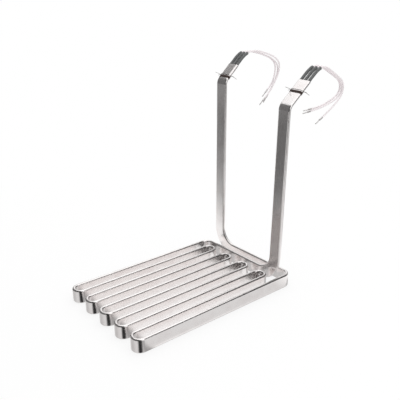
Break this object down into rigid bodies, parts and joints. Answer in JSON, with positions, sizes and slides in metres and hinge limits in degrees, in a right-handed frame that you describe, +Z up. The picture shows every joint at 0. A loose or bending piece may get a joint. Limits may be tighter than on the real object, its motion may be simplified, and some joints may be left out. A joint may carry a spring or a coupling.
{
  "type": "tubular heating element",
  "caption": "Flat-sided tubular immersion heating element: a folded grid of runs, two legs that rise from it and bend back, and stiff sleeved leads with pin contacts.",
  "frame": {"origin": "on the surface that the grid stands on, under the centre of the element's box, free leads left out", "axes": "+X across the grid from the left leg to the right, +Y from the front loops to the legs, +Z up"},
  "size_m": [0.2237, 0.4986, 0.4129],
  "materials": {
    "sheath": "satin, formed and annealed",
    "magnesia": "compacted powder",
    "seal": "matte",
    "pin": "drawn",
    "barrel": "plated",
    "sleeve": "braided, coated",
    "lead": "braided",
    "contact": "plated",
    "band": "matte",
    "tie_wire": "oxidised"
  },
  "bodies": {
    "root": {"sheath": "sheath", "core": "magnesia", "left_end_seal": "seal", "left_cold_pin_1": "pin", "left_cold_pin_2": "pin", "left_cold_pin_3": "pin", "left_crimp_barrel_1": "barrel", "left_crimp_barrel_2": "barrel", "left_crimp_barrel_3": "barrel", "left_sleeve_1": "sleeve", "left_sleeve_2": "sleeve", "left_sleeve_3": "sleeve", "left_lead_1": "lead", "left_lead_2": "lead", "left_lead_3": "lead", "left_terminal_1": "contact", "left_terminal_2": "contact", "left_terminal_3": "contact", "left_band": "band", "left_wire_tie": "tie_wire", "right_end_seal": "seal", "right_cold_pin_1": "pin", "right_cold_pin_2": "pin", "right_cold_pin_3": "pin", "right_crimp_barrel_1": "barrel", "right_crimp_barrel_2": "barrel", "right_crimp_barrel_3": "barrel", "right_sleeve_1": "sleeve", "right_sleeve_2": "sleeve", "right_sleeve_3": "sleeve", "right_lead_1": "lead", "right_lead_2": "lead", "right_lead_3": "lead", "right_terminal_1": "contact", "right_terminal_2": "contact", "right_terminal_3": "contact", "right_band": "band", "right_wire_tie": "tie_wire"}
  },
  "joints": []
}
